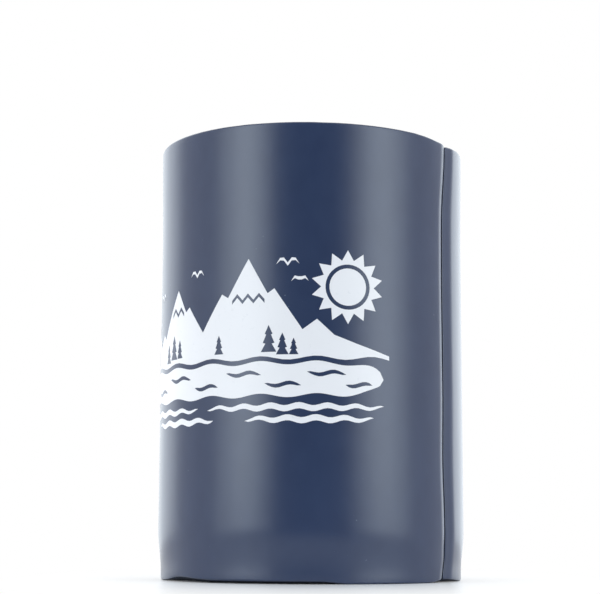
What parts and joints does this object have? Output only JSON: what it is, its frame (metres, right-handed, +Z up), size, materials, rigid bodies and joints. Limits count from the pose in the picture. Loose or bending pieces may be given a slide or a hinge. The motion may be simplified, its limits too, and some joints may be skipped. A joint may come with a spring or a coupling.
{
  "type": "can cooler sleeve",
  "caption": "Open foam tube with a vertical butt seam and a printed landscape, which slips over a drink can to keep it cool.",
  "frame": {"origin": "centre of the foot, on the surface that the sleeve stands on", "axes": "+Z up along the sleeve's axis, -Y to the front of the print, +X to the right of the print, where the seam is"},
  "size_m": [0.0752, 0.0752, 0.1054],
  "materials": {
    "foam": "navy closed-cell foam with a smooth satin skin",
    "ink": "white screen print, satin"
  },
  "bodies": {
    "root": {"sleeve_wall": "foam", "print_ridge": "ink", "print_lake": "ink", "print_sun_disc": "ink", "print_sun_rays": "ink", "print_ripple_1": "ink", "print_ripple_2": "ink", "print_ripple_3": "ink", "print_ripple_4": "ink", "print_gull_1": "ink", "print_gull_2": "ink", "print_gull_3": "ink", "print_gull_4": "ink"}
  },
  "joints": []
}
